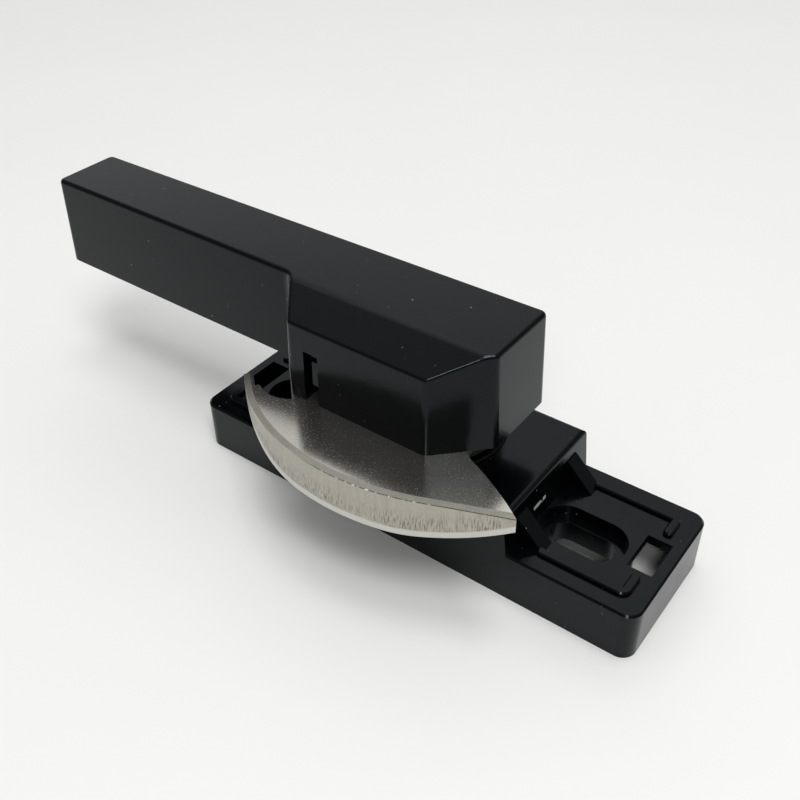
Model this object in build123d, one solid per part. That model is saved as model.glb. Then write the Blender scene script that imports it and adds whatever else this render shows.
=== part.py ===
from build123d import *
import os
from math import cos, hypot, radians, sin, tan

# Base casting, mm; the pivot axis and the mounting plane are the datums
base_length = 92.0
base_width = 27.4
end_height = 9.9
plateau_length = 44.0
plateau_height = 17.5
plateau_draft = 0.8
corner_radius = 2.6
cast_edge = 0.35
plateau_edge = 1.0
cast_wall = 1.8
end_wall = 2.1
cross_wall = 2.4
web_thickness = 3.3
boss_radius = 12.45
boss_height = 0.5

# Screw slots, clip windows and the ribs that locate the end caps
slot_pitch = 61.2
slot_offset = 1.75
slot_width = 5.2
slot_length = 11.4
slot_lip = 3.9
counterbore_width = 9.2
counterbore_length = 15.4
counterbore_depth = 2.2
cup_wall = 1.1
window_length = 4.4
window_width = 8.0
rib_height = 0.7
rib_width = 1.6
rib_span = 21.2
rib_start = 26.6
rib_end = 42.8
rib_return = 5.4
rib_corner = 1.8
rib_tip = 0.6
rib_edge = 0.25
gusset_thickness = 3.0
gusset_span = 16.6
gusset_run = 5.5
gusset_rise = 5.2

# Lever casting
lever_bottom = 26.2
lever_height = 17.56
lever_draft = 2.06
lever_left = 85.6
lever_right = 16.2
lever_front = 8.15
lever_back = 6.59
lever_back_tip = 5.47
head_front = 16.0
head_front_left = 18.85
head_front_right = 8.44
head_back_left = 24.8
head_drop = 3.14
head_crease = 9.2
lever_wall = 2.0
lever_roof = 2.2
lever_corner = 1.8
lever_inner_corner = 2.5
lever_edge = 0.8
lever_crease = 3.0
lever_boss_radius = 6.4
notch_left = 15.7
notch_right = 12.7
notch_height = 9.8
leg_right = 17.4

# Crescent; angles run clockwise from +X, as seen from above
rim_centre_x = -2.0
rim_centre_y = 14.6
rim_radius = 43.0
rim_thickness = 1.6
rim_tangent = 68.45
rim_tip = 27.6
rim_depth = 7.9
rim_flat = 8.0
rim_sweep_radius = 40.0
rim_band = 1.1
rim_band_drop = 0.12
horn_radius = 35.0
horn_turn = 105.0
horn_root = 129.7
horn_end = 136.3
plate_thickness = 2.3
collar_radius = 11.5
edge_x = 15.6
edge_y = 13.2
edge_bulge = 0.35
nick_width = 2.6
nick_depth = 3.4
scallop_x = 21.5
scallop_y = 13.3
scallop_radius = 5.8

# Pivot
journal_radius = 5.0
running_clearance = 0.05
square_size = 7.0
square_clearance = 0.02
bush_wall = 1.6
bush_flange_radius = 9.0
bush_flange_thickness = 1.0
seat_clearance = 0.02
thrust_washer_thickness = 0.6
thrust_washer_radius = 11.0
axial_clearance = 0.05
spring_washer_height = 0.8
spring_washer_radius = 9.0
stop_disc_thickness = 2.0
cam_thickness = 3.0
cam_radius = 7.5
cam_flat = 7.0
stop_reach = 10.8
stop_width = 4.8
stop_post_length = 2.0
stop_post_width = 3.0
stop_clearance = 0.15
spindle_flange_radius = 6.8
spindle_flange_thickness = 2.0
spindle_grip = 8.0

# Leaf springs, cover plate and screws
leaf_thickness = 0.6
leaf_clearance = 0.05
leaf_end_gap = 2.6
leaf_inset = 0.25
leaf_post_length = 3.0
leaf_post_width = 3.4
leaf_post_inset = 0.4
cover_thickness = 1.0
cover_clearance = 0.3
cover_hole_radius = 7.7
cover_screw_inset = 3.6
cover_screw_radius = 1.25
cover_screw_length = 5.0
cover_screw_head_radius = 2.3
cover_screw_head_height = 1.4
cover_post_radius = 2.6
thread_clearance = 0.03
screw_radius = 2.0
screw_length = 35.0
screw_head_radius = 3.8
screw_head_height = 2.6
screw_socket_size = 3.0
screw_socket_depth = 1.6
screw_clearance = 0.15
lock_washer_thickness = 0.9
lock_washer_radius = 3.6

# Levels and sizes that follow from the values above
web_bottom = plateau_height - web_thickness
boss_top = plateau_height + boss_height
lip_top = end_height - counterbore_depth
lip_bottom = lip_top - slot_lip
collar_bottom = boss_top + thrust_washer_thickness + axial_clearance
plate_bottom = lever_bottom - plate_thickness
rim_bottom = lever_bottom - rim_depth
spring_washer_top = web_bottom - axial_clearance
stop_disc_top = spring_washer_top - spring_washer_height
cam_top = stop_disc_top - stop_disc_thickness
cam_bottom = cam_top - cam_thickness
flange_bottom = cam_bottom - spindle_flange_thickness
lock_washer_bottom = flange_bottom - lock_washer_thickness
spindle_top = lever_bottom + spindle_grip
bush_bore = journal_radius + running_clearance
bush_radius = bush_bore + bush_wall
cavity_half_length = plateau_length / 2 - cross_wall
cavity_half_width = base_width / 2 - cast_wall
end_cavity_end = base_length / 2 - end_wall
window_start = end_cavity_end - window_length
leaf_length = 2 * (cavity_half_length - leaf_end_gap)
leaf_offset = cam_radius + leaf_clearance
leaf_bottom = cam_bottom + leaf_inset
leaf_height = cam_thickness - 2 * leaf_inset
cover_top = cam_bottom
cover_screw_x = cavity_half_length - cover_screw_inset
screw_tip = lock_washer_bottom + screw_length
lever_foot = lever_height * tan(radians(lever_draft))


def slab(x0, x1, y0, y1, z0, z1):
    """A block between two opposite corners."""
    block = Box(x1 - x0, y1 - y0, z1 - z0)
    return Pos((x0 + x1) / 2, (y0 + y1) / 2, (z0 + z1) / 2) * block


def disc(radius, z0, z1, x=0.0, y=0.0):
    """An upright cylinder between two levels."""
    return Pos(x, y, (z0 + z1) / 2) * Cylinder(radius, z1 - z0)


def square_bar(size, z0, z1):
    """An upright square bar on the pivot axis."""
    return slab(-size / 2, size / 2, -size / 2, size / 2, z0, z1)


def obround(length, width, z0, z1, x, y):
    """An upright slot-shaped block whose length runs along X."""
    return Pos(x, y, z0) * extrude(SlotOverall(length, width), z1 - z0)


def cross_section(points, y0, y1):
    """A prism along Y from a closed outline of (x, z) points."""
    outline = make_face(Polyline(*[(x, y0, z) for x, z in points], close=True))
    return extrude(outline, y1 - y0, dir=(0, 1, 0))


def both_ends(part):
    """The part and its mirror image at the other end of the base."""
    return part + mirror(part, about=Plane.YZ)


def both_sides(part):
    """The part and its mirror image on the other side of the base."""
    return part + mirror(part, about=Plane.XZ)


def base_outside():
    """Low ends with a raised middle block, all edges soft as cast."""
    ends = slab(-base_length / 2, base_length / 2, -base_width / 2, base_width / 2, 0, end_height)
    ends = fillet(ends.edges().filter_by(Axis.Z), corner_radius)
    ends = chamfer(ends.faces().sort_by(Axis.Z)[-1].edges(), cast_edge)
    top = plateau_length / 2
    foot = top + plateau_draft
    side = [(-foot, 0), (foot, 0), (foot, end_height), (top, plateau_height)]
    side = side + [(-top, plateau_height), (-foot, end_height)]
    block = cross_section(side, -base_width / 2, base_width / 2)
    block = fillet(block.faces().sort_by(Axis.Z)[-1].edges(), plateau_edge)
    return ends + block


def gussets():
    """Sloping webs that brace the middle block's end walls."""
    wall = plateau_length / 2
    foot = wall + gusset_run
    side = [(wall, end_height - 0.5), (foot, end_height - 0.5), (foot, end_height)]
    side = side + [(wall + 0.4, end_height + gusset_rise), (wall, end_height + gusset_rise)]
    one = cross_section(side, gusset_span / 2 - gusset_thickness / 2, gusset_span / 2 + gusset_thickness / 2)
    return both_ends(both_sides(one))


def cap_ribs():
    """L-shaped ribs on both ends, which locate the screw covers."""
    outer = rib_span / 2
    inner = outer - rib_width
    low = end_height - 0.5
    plan = Polyline(
        (rib_start, outer),
        (rib_end, outer),
        (rib_end, rib_return),
        (rib_end - rib_width, rib_return),
        (rib_end - rib_width, inner),
        (rib_start, inner),
        close=True,
    )
    plan = make_face(plan)
    plan = fillet(plan.vertices().sort_by_distance((rib_end, outer))[0], rib_corner)
    ends = plan.vertices().sort_by(Axis.Y)[:2] + plan.vertices().sort_by(Axis.X)[:2]
    plan = fillet(ends, rib_tip)
    one = extrude(Pos(0, 0, low) * plan, end_height + rib_height - low)
    one = chamfer(one.faces().sort_by(Axis.Z)[-1].edges(), rib_edge)
    return both_ends(both_sides(one))


def end_cuts():
    """Hollows, cups with counterbores and slots, and windows of the two ends."""
    seat = slot_pitch / 2
    roof = end_height - cast_wall
    hollow = slab(plateau_length / 2, end_cavity_end, -cavity_half_width, cavity_half_width, 0, roof)
    cup = obround(counterbore_length + 2 * cup_wall, counterbore_width + 2 * cup_wall,
                  lip_bottom, roof, seat, -slot_offset)
    cut = hollow - cup
    cut = cut + obround(counterbore_length, counterbore_width, lip_top, end_height + 1, seat, -slot_offset)
    cut = cut + obround(slot_length, slot_width, lip_bottom, end_height, seat, -slot_offset)
    cut = cut + slab(window_start, end_cavity_end, -window_width / 2, window_width / 2, 0, end_height + 1)
    return both_ends(cut)


def leaf_posts():
    """Slotted posts in the middle cavity, which hold the leaf springs' ends."""
    end = leaf_length / 2 + leaf_clearance
    middle = leaf_offset + leaf_thickness / 2
    outer = end + leaf_post_inset
    block = slab(outer - leaf_post_length, outer, middle - leaf_post_width / 2,
                 middle + leaf_post_width / 2, cover_top, web_bottom + 0.5)
    slit = slab(0, end, leaf_offset - leaf_clearance, leaf_offset + leaf_thickness + leaf_clearance,
                cover_top, leaf_bottom + leaf_height + leaf_clearance)
    return both_ends(both_sides(block - slit))


def stop_posts():
    """Two posts, which end the lever's half turn."""
    inner = stop_reach - stop_post_length
    near = stop_width / 2 + stop_clearance
    post = slab(inner, stop_reach, near, near + stop_post_width, cam_top, web_bottom + 0.5)
    return both_ends(post)


def cover_posts():
    """Posts with blind holes for the cover plate's screws."""
    post = disc(cover_post_radius, cover_top, web_bottom + 0.5, cover_screw_x)
    hole_top = cover_top - cover_thickness + cover_screw_length + thread_clearance
    hole = disc(cover_screw_radius + thread_clearance, cover_top, hole_top, cover_screw_x)
    return both_ends(post - hole)


def base():
    """The die-cast base."""
    body = base_outside() + gussets() + cap_ribs()
    boss = disc(boss_radius, plateau_height - 0.5, boss_top)
    body = body + chamfer(boss.edges().sort_by(Axis.Z)[-1], boss_height / 2)
    body = body - end_cuts()
    body = body - slab(-cavity_half_length, cavity_half_length, -cavity_half_width, cavity_half_width,
                       0, web_bottom)
    body = body + leaf_posts() + stop_posts() + cover_posts()
    body = body - disc(bush_radius + seat_clearance, web_bottom - 0.1, boss_top + 0.1)
    body = body - disc(bush_flange_radius + seat_clearance, boss_top - bush_flange_thickness, boss_top + 0.1)
    return body


def pivot_bush():
    """Flanged bush, its flange sunk flush into the boss."""
    bush = disc(bush_radius, web_bottom, boss_top)
    bush = bush + disc(bush_flange_radius, boss_top - bush_flange_thickness, boss_top)
    return bush - disc(bush_bore, web_bottom, boss_top)


def thrust_washer():
    """Washer that carries the crescent's collar on the boss."""
    top = boss_top + thrust_washer_thickness
    return disc(thrust_washer_radius, boss_top, top) - disc(bush_bore, boss_top, top)


def lever_plan(grow):
    """The lever's plan at its top, moved out by grow."""
    plan = Polyline(
        (-lever_left, -lever_front),
        (-head_back_left, -lever_front),
        (-head_front_left, -head_front),
        (head_front_right, -head_front),
        (lever_right, -lever_front),
        (lever_right, lever_back),
        (-lever_left, lever_back_tip),
        close=True,
    )
    return offset(make_face(plan), grow, kind=Kind.INTERSECTION)


def head_slope(lower):
    """What is cut away over the head's sloping top."""
    top = lever_bottom + lever_height - lower
    fall = head_drop / (head_front - head_crease)
    reach = 2 * head_front
    outline = Polyline(
        (0, -head_crease, top),
        (0, -reach, top - fall * (reach - head_crease)),
        (0, -reach, top + reach),
        (0, -head_crease, top + reach),
        close=True,
    )
    return extrude(make_face(outline), 2 * lever_left, both=True, dir=(1, 0, 0))


def lever_form(plan, lower):
    """The lever's drafted block over a plan at its underside."""
    return extrude(Pos(0, 0, lever_bottom) * plan, lever_height - lower, taper=lever_draft)


def lever_foot_plan():
    """The lever's plan at its underside, with rounded corners."""
    plan = lever_plan(lever_foot)
    inner = plan.vertices().sort_by_distance((-head_back_left, -lever_front))[0]
    outer = [v for v in plan.vertices() if v.center() != inner.center()]
    plan = fillet(outer, lever_corner)
    inner = plan.vertices().sort_by_distance(inner.center())[0]
    return fillet(inner, lever_inner_corner)


def lever_outside():
    """The lever with its rounded corners and sloping head."""
    form = lever_form(lever_foot_plan(), 0) - head_slope(0)
    top = lever_bottom + lever_height
    crease = form.edges().filter_by(Axis.X).sort_by_distance((0, -head_crease, top))[0]
    form = fillet(crease, lever_crease)
    rim = form.edges().filter_by(lambda e: e.bounding_box().min.Z > top - head_drop - 1)
    across = [f for f in form.faces() if f.normal_at(f.center()).Z > 0.7]
    rim = [e for e in rim if sum(e in f.edges() for f in across) == 1]
    return fillet(rim, lever_edge)


def driving_leg():
    """The head's left corner, which runs on down into the crescent's scallop."""
    front = head_front + lever_foot
    corner = extrude(Pos(0, 0, plate_bottom) * lever_foot_plan(), plate_thickness)
    reach = slab(-head_back_left, -leg_right, -front, -front + lever_wall, plate_bottom, lever_bottom)
    return corner & reach


def handle():
    """Hollow die-cast lever with a boss for the spindle."""
    outside = lever_outside()
    hollow = lever_form(lever_plan(lever_foot - lever_wall), lever_roof) - head_slope(lever_roof)
    hollow = hollow - disc(lever_boss_radius, lever_bottom, lever_bottom + lever_height)
    shell = outside - hollow
    notch = slab(-notch_left, -notch_right, -head_front - lever_wall, -head_front + lever_wall + 0.5,
                 lever_bottom, lever_bottom + notch_height)
    shell = shell - notch + driving_leg()
    keyway = square_bar(square_size + 2 * square_clearance, lever_bottom, spindle_top + thread_clearance)
    return shell - keyway - disc(screw_radius + thread_clearance, lever_bottom, screw_tip + thread_clearance)


def rim_point(inset, angle):
    """A point on the rim's main arc or inside it."""
    reach = rim_radius - inset
    return (rim_centre_x + reach * cos(radians(angle)), rim_centre_y - reach * sin(radians(angle)))


def horn_point(inset, angle):
    """A point on the tighter arc of the horn or inside it."""
    x, y = rim_point(horn_radius, horn_turn)
    reach = horn_radius - inset
    return (x + reach * cos(radians(angle)), y - reach * sin(radians(angle)))


def rim_end(inset):
    """Where the rim's straight lead-in ends, on the plate's free edge."""
    x, y = rim_point(0, rim_tangent)
    slope = radians(90 - rim_tangent)
    tip_y = y + (rim_tip - x) * tan(slope)
    edge = hypot(edge_x - rim_tip, edge_y + tip_y)
    along = ((edge_x - rim_tip) / edge, (-edge_y - tip_y) / edge)
    run = inset / (along[1] * cos(slope) - along[0] * sin(slope))
    return (rim_tip + run * along[0], tip_y + run * along[1])


def rim_line(inset, first):
    """The rim's outline in plan, from an angle on the horn to the lead-in tip."""
    horn_middle = (first + horn_turn) / 2
    rim_middle = (horn_turn + rim_tangent) / 2
    joint = rim_point(inset, horn_turn)
    return [
        ThreePointArc(horn_point(inset, first), horn_point(inset, horn_middle), joint),
        ThreePointArc(joint, rim_point(inset, rim_middle), rim_point(inset, rim_tangent)),
        Line(rim_point(inset, rim_tangent), rim_end(inset)),
    ]


def rim_band_face():
    """Plan of the rim: the horn, the main arc and a straight lead-in."""
    tip = Line(rim_end(0), rim_end(rim_thickness))
    horn = Line(horn_point(0, horn_end), horn_point(rim_thickness, horn_end))
    return make_face(rim_line(0, horn_end) + [tip] + rim_line(rim_thickness, horn_end) + [horn])


def plate_face():
    """Plan of the crescent's plate, from the hub out to the rim."""
    tip_x, tip_y = rim_end(0)
    edge = (edge_x, -edge_y)
    reach = hypot(edge_x - tip_x, edge_y + tip_y)
    bulge_x = (tip_x + edge_x) / 2 - edge_bulge * (edge_y + tip_y) / reach
    bulge_y = (tip_y - edge_y) / 2 + edge_bulge * (tip_x - edge_x) / reach
    neck = (edge_x - nick_width, -edge_y + nick_depth)
    nick = (edge_x - 0.6 * nick_width, -edge_y + 0.3 * nick_depth)
    outline = rim_line(0, horn_root) + [
        ThreePointArc((tip_x, tip_y), (bulge_x, bulge_y), edge),
        ThreePointArc(edge, nick, neck),
        Line(neck, (collar_radius, 0)),
        ThreePointArc((collar_radius, 0), (0, collar_radius), (-collar_radius, 0)),
        Line((-collar_radius, 0), horn_point(0, horn_root)),
    ]
    return make_face(outline)


def crescent():
    """Locking crescent: plate, hooking rim and collar in one casting."""
    plate = Pos(0, 0, plate_bottom) * extrude(plate_face(), plate_thickness)
    plate = plate - disc(scallop_radius, plate_bottom, lever_bottom, -scallop_x, -scallop_y)
    rim = Pos(0, 0, rim_bottom) * extrude(rim_band_face(), rim_depth)
    sweep = Rot(90, 0, 0) * SlotCenterToCenter(2 * rim_flat, 2 * rim_sweep_radius)
    sweep = extrude(sweep, 2 * rim_radius, both=True)
    rim = rim & (Pos(0, 0, rim_bottom + rim_sweep_radius) * sweep)
    body = plate + rim
    top = body.faces().sort_by(Axis.Z)[-1]
    line = Pos(0, 0, lever_bottom) * Curve(rim_line(0, horn_end))
    outer = [e for e in top.edges() if line.distance_to(e @ 0.5) < seat_clearance]
    body = chamfer(outer, rim_band, rim_band_drop, reference=top)
    body = body + disc(collar_radius, collar_bottom, plate_bottom)
    return body - square_bar(square_size + 2 * square_clearance, collar_bottom, lever_bottom)


def spindle():
    """Hollow spindle: square for the lever, round in the bush, square for the cam."""
    low = disc(spindle_flange_radius, flange_bottom, cam_bottom)
    keyed = square_bar(square_size, cam_bottom, stop_disc_top)
    journal = disc(journal_radius, stop_disc_top, collar_bottom)
    upper = square_bar(square_size, collar_bottom, spindle_top)
    bore = disc(screw_radius + screw_clearance, flange_bottom, spindle_top)
    return low + keyed + journal + upper - bore


def spring_washer():
    """Spring washer, pressed flat, which keeps the pivot free of play."""
    ring = disc(spring_washer_radius, stop_disc_top, spring_washer_top)
    return ring - disc(journal_radius + screw_clearance, stop_disc_top, spring_washer_top)


def stop_disc():
    """Disc with a lug, which meets the base's stop posts."""
    plate = disc(cam_radius, cam_top, stop_disc_top)
    plate = plate + slab(0, stop_reach, -stop_width / 2, stop_width / 2, cam_top, stop_disc_top)
    return plate - square_bar(square_size + 2 * square_clearance, cam_top, stop_disc_top)


def detent_cam():
    """Round cam with two flats for the leaf springs."""
    cam = disc(cam_radius, cam_bottom, cam_top)
    cam = cam & slab(-cam_radius, cam_radius, -cam_flat, cam_flat, cam_bottom, cam_top)
    return cam - square_bar(square_size + 2 * square_clearance, cam_bottom, cam_top)


def detent_spring(side):
    """Leaf spring along one side of the cam."""
    leaf = slab(-leaf_length / 2, leaf_length / 2, leaf_offset, leaf_offset + leaf_thickness,
                leaf_bottom, leaf_bottom + leaf_height)
    return leaf if side > 0 else mirror(leaf, about=Plane.XZ)


def cover_plate():
    """Plate that closes the leaf springs' posts."""
    half_length = cavity_half_length - cover_clearance
    half_width = cavity_half_width - cover_clearance
    low = cover_top - cover_thickness
    plate = slab(-half_length, half_length, -half_width, half_width, low, cover_top)
    plate = plate - disc(cover_hole_radius, low, cover_top)
    hole = disc(cover_screw_radius + screw_clearance, low, cover_top, cover_screw_x)
    return plate - both_ends(hole)


def cover_screw(side):
    """Pan-head screw with a cross slot."""
    x = side * cover_screw_x
    seat = cover_top - cover_thickness
    head = disc(cover_screw_head_radius, seat - cover_screw_head_height, seat, x)
    shank = disc(cover_screw_radius, seat, seat + cover_screw_length, x)
    low = seat - cover_screw_head_height
    arm = cover_screw_head_radius * 0.6
    recess = slab(x - arm, x + arm, -0.3, 0.3, low, low + 0.7)
    recess = recess + slab(x - 0.3, x + 0.3, -arm, arm, low, low + 0.7)
    return head + shank - recess


def lock_washer():
    """Split spring washer under the centre screw's head."""
    ring = disc(lock_washer_radius, lock_washer_bottom, flange_bottom)
    ring = ring - disc(screw_radius + screw_clearance, lock_washer_bottom, flange_bottom)
    split = slab(0, lock_washer_radius + 1, -0.35, 0.35, lock_washer_bottom, flange_bottom)
    return ring - split


def handle_screw():
    """Socket screw, which draws the lever and the spindle together."""
    head_bottom = lock_washer_bottom - screw_head_height
    head = disc(screw_head_radius, head_bottom, lock_washer_bottom)
    shank = disc(screw_radius, lock_washer_bottom, screw_tip)
    hexagon = RegularPolygon(screw_socket_size / 2, 6, major_radius=False)
    socket = Pos(0, 0, head_bottom) * extrude(hexagon, screw_socket_depth)
    return head + shank - socket


nodes = {
    "base": base(),
    "pivot_bush": pivot_bush(),
    "thrust_washer": thrust_washer(),
    "handle": handle(),
    "crescent": crescent(),
    "spindle": spindle(),
    "spring_washer": spring_washer(),
    "stop_disc": stop_disc(),
    "detent_cam": detent_cam(),
    "detent_spring_front": detent_spring(-1),
    "detent_spring_back": detent_spring(1),
    "cover_plate": cover_plate(),
    "cover_screw_left": cover_screw(-1),
    "cover_screw_right": cover_screw(1),
    "lock_washer": lock_washer(),
    "handle_screw": handle_screw(),
}

# The origin of the whole lies midway between the screw slots
os.makedirs("parts", exist_ok=True)
for name, part in nodes.items():
    export_step(Pos(0, slot_offset, 0) * part, f"parts/{name}.step")
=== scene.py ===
import bpy
from mathutils import Matrix, Vector

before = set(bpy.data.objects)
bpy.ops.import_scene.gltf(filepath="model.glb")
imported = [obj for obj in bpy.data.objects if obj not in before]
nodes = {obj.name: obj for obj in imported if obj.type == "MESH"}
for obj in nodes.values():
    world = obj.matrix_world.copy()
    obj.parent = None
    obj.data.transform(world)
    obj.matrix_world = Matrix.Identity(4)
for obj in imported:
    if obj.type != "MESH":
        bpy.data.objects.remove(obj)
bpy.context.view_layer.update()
MM = 0.001

# Where the photograph was taken from, in the row frame; places in mm
CAMERA_AT = (75.706, -108.898, 129.104)
CAMERA_RIGHT = (0.80271, 0.5962, -0.01424)
CAMERA_UP = (-0.36175, 0.50574, 0.78317)
CAMERA_AHEAD = (-0.47413, 0.62351, -0.62164)
CAMERA_NEAREST = 5.0
LENS_MM = 44.386
SENSOR_MM = 36.0

# Soft boxes: name, place, aim, width and height in mm, power in W
PART_MIDDLE = (0, 0, 10)
LAMPS = [
    ("ceiling", (0, 300, 1500), (0, 300, 0), 2400, 2400, 6.6),
    ("back", (-800, 960, 990), PART_MIDDLE, 1800, 1400, 4.1),
    ("top", (60, 60, 1000), PART_MIDDLE, 260, 260, 1.9),
    ("key", (590, -420, 1420), PART_MIDDLE, 480, 600, 10.5),
    ("fill", (300, -585, 610), PART_MIDDLE, 140, 140, 1.0),
]
WORLD_STRENGTH = 0.24
FLOOR_REACH = 4000.0

# Crescent sizes that its marks follow, in mm
RIM_CENTRE = (-2.0, 16.35)
RIM_RADIUS = 43.0
RIM_EDGE = 26.08
RIM_BOTTOM = 18.3
RIM_FLAT = 8.0
RIM_SWEEP_RADIUS = 40.0

# Where the crescent's marks and its painted glints begin and end, in mm; the slope is the plate's slight
# fall
BEYOND_COLLAR = (14.0, 16.0)
POLISH_HEIGHT = (1.1, 1.4)
SCRATCH_HEIGHT = (5.6, 2.6)
SEAM_LEVEL = (RIM_EDGE - 0.24, RIM_EDGE - 0.12)
SEAM_START = (-9.0, -3.0)
PAINTED_GLINT_X = (1.0, 15.0)
PAINTED_GLINT_SOFT = 3.0
MARK_STRETCH = 0.12
PLATE_SLOPE = 0.015

# The chip in the base's coat: limits and soft ends along X, Y and Z, in mm
CHIP = [(22.0, 23.0), (-2.85, 1.15), (12.5, 13.2)]
CHIP_SOFT = [0.05, 0.35, 0.12]
CHIP_METALLIC = 0.4

# Depths of fine relief, in mm
PEEL_DEPTH = 0.012
COAT_GRAIN_DEPTH = 0.004
PLATE_GRAIN_DEPTH = 0.008
SCRATCH_DEPTH = 0.030
TOOL_MARK_DEPTH = 0.006
MOULD_DEPTH = 0.006

# Colours
COAT_DARK = (0.0005, 0.0008, 0.0010)
COAT_LIGHT = (0.0010, 0.0014, 0.0017)
COAT_TINT = (0.84, 0.95, 1.0)
DUST = (0.34, 0.34, 0.33)
BARE_CASTING = (0.78, 0.76, 0.70)
BAND_DARK = (0.25, 0.24, 0.205)
BAND_LIGHT = (0.35, 0.335, 0.29)
PLATE_DARK = (0.50, 0.485, 0.44)
PLATE_LIGHT = (0.56, 0.545, 0.50)
WALL_DARK = (0.31, 0.29, 0.243)
WALL_LIGHT = (0.51, 0.485, 0.425)
POLISHED = (0.58, 0.57, 0.53)
SCRATCHED = (0.13, 0.115, 0.095)
SEAM = (0.05, 0.045, 0.04)
# painted highlight: near-white colour painted as glints along the seam line
PAINTED_GLINT = (0.95, 0.94, 0.90)
FLECK = (0.78, 0.77, 0.72)
STEEL_DARK = (0.50, 0.50, 0.49)
STEEL_LIGHT = (0.60, 0.60, 0.58)
SPRING_DARK = (0.26, 0.26, 0.27)
SPRING_LIGHT = (0.36, 0.36, 0.37)
ACETAL_DARK = (0.02, 0.02, 0.02)
ACETAL_LIGHT = (0.03, 0.03, 0.03)
TABLE_DARK = (0.83, 0.83, 0.82)
TABLE_LIGHT = (0.86, 0.86, 0.85)
WHITE = (1.0, 1.0, 1.0, 1.0)

STEEL_NODES = ["spindle", "stop_disc", "detent_cam", "cover_plate", "cover_screw_left", "cover_screw_right",
               "handle_screw"]
SPRING_NODES = ["spring_washer", "lock_washer", "detent_spring_front", "detent_spring_back"]


class Graph:
    """A material's node tree with short ways to add nodes to it."""

    def __init__(self, name):
        self.material = bpy.data.materials.new(name)
        self.material.use_nodes = True
        self.tree = self.material.node_tree
        self.tree.nodes.clear()
        output = self.tree.nodes.new("ShaderNodeOutputMaterial")
        self.shader = self.tree.nodes.new("ShaderNodeBsdfPrincipled")
        self.tree.links.new(self.shader.outputs["BSDF"], output.inputs["Surface"])
        self.place = self.tree.nodes.new("ShaderNodeTexCoord").outputs["Object"]

    def feed(self, socket, value):
        """Links an output to a socket, or sets the socket's value; a tuple is a colour."""
        if isinstance(value, bpy.types.NodeSocket):
            self.tree.links.new(value, socket)
        elif isinstance(value, tuple):
            socket.default_value = (*value, 1.0)
        else:
            socket.default_value = value

    def surface(self, **values):
        """Sets the shader's inputs by name, with _ for a space."""
        for name, value in values.items():
            self.feed(self.shader.inputs[name.replace("_", " ")], value)

    def math(self, operation, a, b=0.0):
        node = self.tree.nodes.new("ShaderNodeMath")
        node.operation = operation
        for socket, value in zip(node.inputs, (a, b)):
            self.feed(socket, value)
        return node.outputs[0]

    def times(self, product, *others):
        """The product of several values."""
        for value in others:
            product = self.math("MULTIPLY", product, value)
        return product

    def less(self, a, b):
        """The first value less the second."""
        return self.math("SUBTRACT", a, b)

    def axes(self, vector):
        """The three parts of a vector."""
        node = self.tree.nodes.new("ShaderNodeSeparateXYZ")
        self.feed(node.inputs[0], vector)
        return node.outputs

    def join(self, x, y, z):
        """A vector from its three parts."""
        node = self.tree.nodes.new("ShaderNodeCombineXYZ")
        for socket, value in zip(node.inputs, (x, y, z)):
            self.feed(socket, value)
        return node.outputs[0]

    def noise(self, scale, detail=2.0, vector=None, rough=0.5):
        """Noise with a scale per metre."""
        node = self.tree.nodes.new("ShaderNodeTexNoise")
        self.feed(node.inputs["Vector"], vector or self.place)
        node.inputs["Scale"].default_value = scale
        node.inputs["Detail"].default_value = detail
        node.inputs["Roughness"].default_value = rough
        return node.outputs["Fac"]

    def cells(self, scale):
        """Distance to the nearest cell centre, and a random value per cell."""
        node = self.tree.nodes.new("ShaderNodeTexVoronoi")
        self.feed(node.inputs["Vector"], self.place)
        node.inputs["Scale"].default_value = scale
        return node.outputs["Distance"], self.axes(node.outputs["Color"])[0]

    def span(self, value, low, high, to_low=0.0, to_high=1.0):
        """Maps a value from one range to another and clamps it."""
        node = self.tree.nodes.new("ShaderNodeMapRange")
        for socket, number in zip(node.inputs, (value, low, high, to_low, to_high)):
            self.feed(socket, number)
        return node.outputs["Result"]

    def ramp(self, value, limits, to_low=0.0, to_high=1.0):
        """Maps a length between two limits in mm to another range and clamps it."""
        return self.span(value, limits[0] * MM, limits[1] * MM, to_low, to_high)

    def within(self, value, limits, soft):
        """1 between two limits in mm, with soft ends."""
        low, high = limits
        rise = self.ramp(value, (low - soft, low + soft))
        fall = self.ramp(value, (high - soft, high + soft), 1.0, 0.0)
        return self.times(rise, fall)

    def mix(self, share, a, b):
        """Mixes two colours."""
        node = self.tree.nodes.new("ShaderNodeMix")
        node.data_type = "RGBA"
        self.feed(node.inputs["Factor"], share)
        self.feed(node.inputs["A"], a)
        self.feed(node.inputs["B"], b)
        return node.outputs["Result"]

    def bump(self, height, depth, strength=1.0, normal=None):
        """A normal bent by a height that is scaled by a depth in mm."""
        node = self.tree.nodes.new("ShaderNodeBump")
        node.inputs["Strength"].default_value = strength
        node.inputs["Distance"].default_value = depth * MM
        self.feed(node.inputs["Height"], height)
        if normal:
            self.feed(node.inputs["Normal"], normal)
        return node.outputs["Normal"]

    def facing_up(self):
        """How far the surface itself, without bumps, faces up."""
        node = self.tree.nodes.new("ShaderNodeNewGeometry")
        return self.axes(node.outputs["True Normal"])[2]


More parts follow.
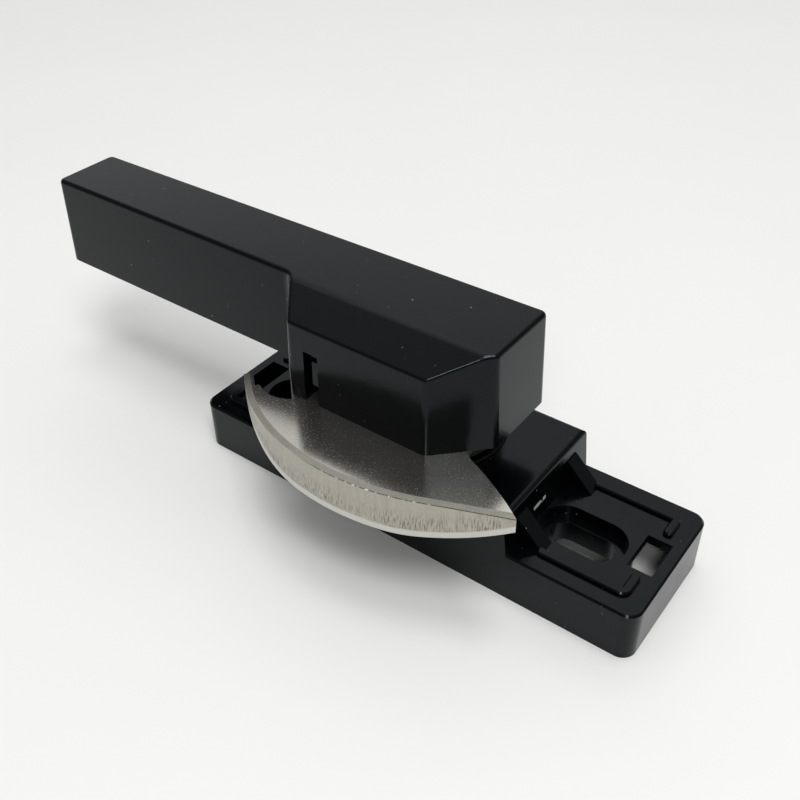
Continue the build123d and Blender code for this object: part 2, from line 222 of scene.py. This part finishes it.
def coat(name, chip=None):
    """Black satin coat on a casting, with fine orange peel, dust and an optional chip."""
    g = Graph(name)
    colour = g.mix(g.noise(90.0, 4.0), COAT_DARK, COAT_LIGHT)
    distance, random = g.cells(330.0)
    speck = g.times(g.math("GREATER_THAN", random, 0.86), g.span(distance, 0.03, 0.07, 1.0, 0.0))
    lint = g.times(g.span(g.noise(1400.0, 1.0), 0.74, 0.80), g.span(g.noise(160.0), 0.52, 0.66))
    colour = g.mix(g.times(g.math("MAXIMUM", speck, lint), 0.45), colour, DUST)
    metal = 0.0
    if chip:
        sides = zip(g.axes(g.place), chip, CHIP_SOFT)
        shape = g.times(*[g.within(side, limits, soft) for side, limits, soft in sides])
        metal = g.span(g.times(shape, g.span(g.noise(1100.0, 3.0), 0.35, 0.5)), 0.35, 0.65)
        colour = g.mix(metal, colour, BARE_CASTING)
    peel = g.bump(g.noise(900.0, 2.0), PEEL_DEPTH, 0.55)
    g.surface(
        Base_Color=colour,
        Metallic=g.times(metal, CHIP_METALLIC),
        Roughness=g.span(g.noise(260.0, 3.0), 0.3, 0.7, 0.15, 0.21),
        Specular_IOR_Level=0.21,
        Specular_Tint=COAT_TINT,
        Normal=g.bump(g.noise(4200.0, 2.0), COAT_GRAIN_DEPTH, 0.5, peel),
    )
    return g.material


def crescent_metal():
    """Plated casting: grainy mirror on the plate, scratches down the rim, a smooth lower edge, and a dark
    seam line with painted highlights (glints) along the rim's top edge.
    """
    g = Graph("crescent metal")
    x, y, z = g.axes(g.place)
    up = g.facing_up()
    reach = g.math("SQRT", g.math("ADD", g.times(x, x), g.times(y, y)))
    plate = g.span(up, 0.9955, 0.999)
    wall = g.times(g.span(g.math("ABSOLUTE", up), 0.25, 0.05), g.ramp(reach, BEYOND_COLLAR))

    # A place along the rim, for marks that run down it, and the height over its swept lower edge
    turn = g.math("ARCTAN2", g.less(y, RIM_CENTRE[1] * MM), g.less(x, RIM_CENTRE[0] * MM))
    down = g.join(g.times(turn, RIM_RADIUS * MM), g.times(z, MARK_STRETCH), 0.0)
    beyond = g.math("MAXIMUM", g.less(g.math("ABSOLUTE", x), RIM_FLAT * MM), 0.0)
    sweep = g.math("SQRT", g.less((RIM_SWEEP_RADIUS * MM) ** 2, g.times(beyond, beyond)))
    height = g.less(z, g.less((RIM_BOTTOM + RIM_SWEEP_RADIUS) * MM, sweep))

    polished = g.times(wall, g.ramp(height, POLISH_HEIGHT, 1.0, 0.0))
    worn = g.times(wall, g.less(1.0, polished))
    rub = g.times(g.ramp(height, SCRATCH_HEIGHT), g.span(g.noise(90.0, 2.0, down), 0.34, 0.50))
    scratch = g.times(g.span(g.noise(4600.0, 3.0, down), 0.48, 0.62), worn, rub)
    # The seam line's mask carries both the dark seam and the painted highlights (glints) on it
    seam_and_glint = g.times(g.ramp(z, SEAM_LEVEL), wall, g.ramp(x, SEAM_START))
    seam_and_glint = g.times(seam_and_glint, g.span(g.noise(800.0, 2.0, down), 0.26, 0.36))
    # Painted glints: painted highlight in bright dashes along the seam line, between x 1 and 15 mm
    painted_glint = g.within(x, PAINTED_GLINT_X, PAINTED_GLINT_SOFT)
    painted_glint = g.times(painted_glint, g.span(g.noise(1300.0, 2.0, down), 0.5, 0.6))
    fleck = g.span(g.noise(5200.0, 2.0), 0.60, 0.72)

    band = g.mix(g.noise(420.0, 3.0), BAND_DARK, BAND_LIGHT)
    body = g.mix(g.noise(60.0, 3.0), PLATE_DARK, PLATE_LIGHT)
    streaked = g.mix(g.noise(700.0, 4.0, down, 0.6), WALL_DARK, WALL_LIGHT)
    colour = g.mix(plate, band, body)
    colour = g.mix(worn, colour, streaked)
    colour = g.mix(polished, colour, POLISHED)
    colour = g.mix(g.times(scratch, 0.8), colour, SCRATCHED)
    # Along the seam line: dark seam colour, with painted highlight (glint) colour where the glint mask is
    # high
    colour = g.mix(seam_and_glint, colour, g.mix(painted_glint, SEAM, PAINTED_GLINT))
    colour = g.mix(g.times(fleck, 0.4), colour, FLECK)

    rough = g.span(g.noise(90.0, 3.0), 0.3, 0.7, 0.14, 0.19)
    rough = g.math("ADD", rough, g.times(g.less(1.0, plate), 0.16))
    rough = g.math("ADD", rough, g.times(fleck, 0.16))
    crown = g.bump(g.times(reach, -PLATE_SLOPE), 1.0 / MM)
    grain = g.bump(g.noise(3800.0, 3.0), PLATE_GRAIN_DEPTH, 0.5, crown)
    lines = g.bump(g.less(1.0, scratch), SCRATCH_DEPTH, 0.6, grain)
    g.surface(Base_Color=colour, Metallic=0.96, Roughness=rough, Normal=lines)
    return g.material


def turned_metal(name, dark, light, rough):
    """Plain steel with faint machining marks and stains."""
    g = Graph(name)
    x, y, z = g.axes(g.place)
    rings = g.noise(2200.0, 2.0, g.join(g.times(x, 0.15), g.times(y, 0.15), z))
    g.surface(
        Base_Color=g.mix(g.noise(350.0, 4.0), dark, light),
        Metallic=1.0,
        Roughness=g.span(rings, 0.3, 0.7, rough, rough + 0.12),
        Normal=g.bump(rings, TOOL_MARK_DEPTH, 0.5),
    )
    return g.material


def moulded(name, dark, light):
    """Matt engineering plastic."""
    g = Graph(name)
    g.surface(
        Base_Color=g.mix(g.noise(400.0, 3.0), dark, light),
        Roughness=g.span(g.noise(600.0, 2.0), 0.3, 0.7, 0.48, 0.6),
        Normal=g.bump(g.noise(3000.0, 2.0), MOULD_DEPTH, 0.5),
    )
    return g.material


def dress(material, *names):
    """Gives CAD nodes their material."""
    for name in names:
        mesh = nodes[name].data
        mesh.materials.clear()
        mesh.materials.append(material)


def floor():
    """A plain pale table top."""
    mesh = bpy.data.meshes.new("floor")
    reach = FLOOR_REACH * MM
    corners = [(-reach, -reach, 0), (reach, -reach, 0), (reach, reach, 0), (-reach, reach, 0)]
    mesh.from_pydata(corners, [], [(0, 1, 2, 3)])
    item = bpy.data.objects.new("floor", mesh)
    bpy.context.scene.collection.objects.link(item)
    g = Graph("table top")
    g.surface(Base_Color=g.mix(g.noise(14.0, 3.0), TABLE_DARK, TABLE_LIGHT), Roughness=0.6)
    mesh.materials.append(g.material)


def lamp(name, place, aim, width, height, power):
    """A rectangular soft box; places and sizes in mm."""
    data = bpy.data.lights.new(name, "AREA")
    data.shape = "RECTANGLE"
    data.size = width * MM
    data.size_y = height * MM
    data.energy = power
    item = bpy.data.objects.new(name, data)
    bpy.context.scene.collection.objects.link(item)
    item.location = Vector(place) * MM
    item.rotation_euler = (Vector(aim) - Vector(place)).to_track_quat("-Z", "Y").to_euler()


def light():
    """Soft studio light: an even world and five soft boxes."""
    world = bpy.data.worlds.new("studio")
    bpy.context.scene.world = world
    world.use_nodes = True
    background = world.node_tree.nodes["Background"]
    background.inputs["Color"].default_value = WHITE
    background.inputs["Strength"].default_value = WORLD_STRENGTH
    for box in LAMPS:
        lamp(*box)


def camera():
    """The camera where the photograph was taken."""
    data = bpy.data.cameras.new("camera")
    data.sensor_width = SENSOR_MM
    data.lens = LENS_MM
    data.clip_start = CAMERA_NEAREST * MM
    item = bpy.data.objects.new("camera", data)
    bpy.context.scene.collection.objects.link(item)
    turn = Matrix((CAMERA_RIGHT, CAMERA_UP, [-v for v in CAMERA_AHEAD])).transposed()
    item.matrix_world = Matrix.Translation(Vector(CAMERA_AT) * MM) @ turn.to_4x4()
    bpy.context.scene.camera = item


dress(coat("base coat", CHIP), "base")
dress(coat("lever coat"), "handle")
dress(crescent_metal(), "crescent")
dress(turned_metal("plated steel", STEEL_DARK, STEEL_LIGHT, 0.28), *STEEL_NODES)
dress(turned_metal("spring steel", SPRING_DARK, SPRING_LIGHT, 0.3), *SPRING_NODES)
dress(moulded("black acetal", ACETAL_DARK, ACETAL_LIGHT), "pivot_bush", "thrust_washer")

floor()
light()
camera()
bpy.context.scene.view_settings.view_transform = "Standard"
